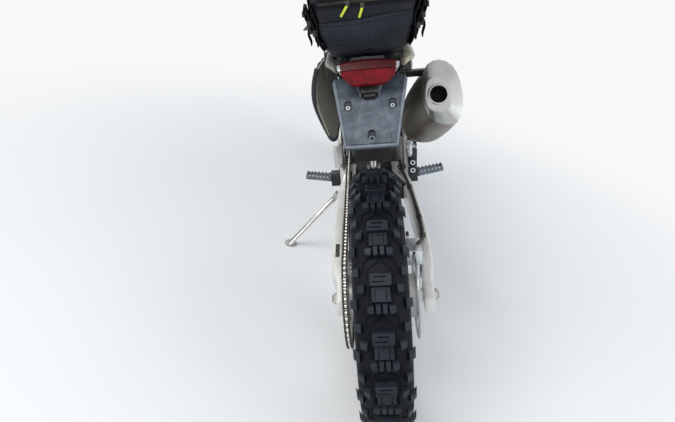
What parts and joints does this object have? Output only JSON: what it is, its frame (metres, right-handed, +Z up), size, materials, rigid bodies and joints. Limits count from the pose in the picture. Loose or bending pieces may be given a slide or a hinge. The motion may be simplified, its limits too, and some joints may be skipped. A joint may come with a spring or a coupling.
{
  "type": "enduro motorcycle",
  "caption": "Single-cylinder enduro motorcycle leaning on its side stand, with knobbly tyres, high silencer, luggage rack and tail bag.",
  "frame": {"origin": "floor under the middle of the parked machine's outline", "axes": "+Y forwards along the parked machine, +X to its right, +Z up from the floor"},
  "size_m": [0.7004, 2.0516, 1.3668],
  "materials": {
    "frame_paint": "satin black powder coat",
    "aluminium": "satin, dusty",
    "steel": "satin",
    "chain_steel": "oily, worn bright on the rollers",
    "engine_paint": "matt grey",
    "fork_gold": "anodised",
    "silencer": "brushed, warm reflections",
    "black_plastic": "moulded grain, dusty",
    "grey_plastic": "slate grey, scuffed and dusty",
    "cream_plastic": "pale",
    "tyre": "matt, dusty in the grooves",
    "seat_vinyl": "grained",
    "bag_fabric": "ballistic weave",
    "lens_red": "ribbed behind a smooth face",
    "lens_clear": "clear",
    "rubber": "ribbed",
    "disc_steel": "ground"
  },
  "bodies": {
    "chassis": {"main_frame": "aluminium", "subframe": "aluminium", "swingarm": "aluminium", "rear_axle": "steel", "pivot_bolt": "steel", "rear_shock": "frame_paint", "chain": "chain_steel", "chain_guides": "black_plastic", "front_sprocket": "steel", "engine_case": "engine_paint", "engine_covers": "engine_paint", "cylinder": "engine_paint", "cylinder_head": "engine_paint", "header_pipe": "steel", "muffler": "silencer", "muffler_end_cap": "silencer", "radiators": "aluminium", "seat": "seat_vinyl", "fuel_tank": "black_plastic", "fuel_cap": "black_plastic", "shrouds": "grey_plastic", "side_cover_left": "grey_plastic", "side_cover_right": "cream_plastic", "rear_fender": "black_plastic", "plate_holder": "grey_plastic", "tail_lamp_lens": "lens_red", "tail_lamp_body": "black_plastic", "rack": "black_plastic", "tail_bag": "bag_fabric", "airbox": "black_plastic", "inner_mudflap": "rubber", "foot_pegs": "steel", "brake_pedal": "frame_paint", "gear_lever": "aluminium", "rear_caliper": "frame_paint", "skid_plate": "black_plastic"},
    "steering": {"triple_clamps": "aluminium", "fork_tubes": "fork_gold", "fork_sliders": "steel", "front_axle": "steel", "bar_clamps": "aluminium", "handlebar": "aluminium", "grips": "rubber", "levers": "aluminium", "front_fender": "black_plastic", "fork_guards": "black_plastic", "front_caliper": "frame_paint", "headlamp_mask": "black_plastic", "headlamp_lens": "lens_clear"},
    "front_wheel": {"front_tyre": "tyre", "front_rim": "aluminium", "front_hub": "aluminium", "front_disc": "disc_steel"},
    "rear_wheel": {"rear_tyre": "tyre", "rear_rim": "aluminium", "rear_hub": "aluminium", "rear_sprocket": "steel", "rear_disc": "disc_steel"},
    "side_stand": {"side_stand": "steel"}
  },
  "joints": [
    {"name": "steering", "type": "hinge", "parent": "chassis", "child": "steering", "pos_m": [-0.05816, 0.35997, 0.95036], "axis": [-0.2306, -0.4484, 0.8636], "range_deg": [-84, 0]},
    {"name": "front_wheel_spin", "type": "hinge", "parent": "steering", "child": "front_wheel", "pos_m": [0.06897, 0.73438, 0.31602], "axis": [0.6392, 0.5994, 0.4819], "continuous": true},
    {"name": "rear_wheel_spin", "type": "hinge", "parent": "chassis", "child": "rear_wheel", "pos_m": [0.11037, -0.69164, 0.32823], "axis": [0.9659, 0.0017, 0.2588], "continuous": true},
    {"name": "side_stand_fold", "type": "hinge", "parent": "chassis", "child": "side_stand", "pos_m": [-0.02274, -0.10686, 0.29186], "axis": [-0.8482, 0.2231, 0.4804], "range_deg": [0, 106.58]}
  ]
}
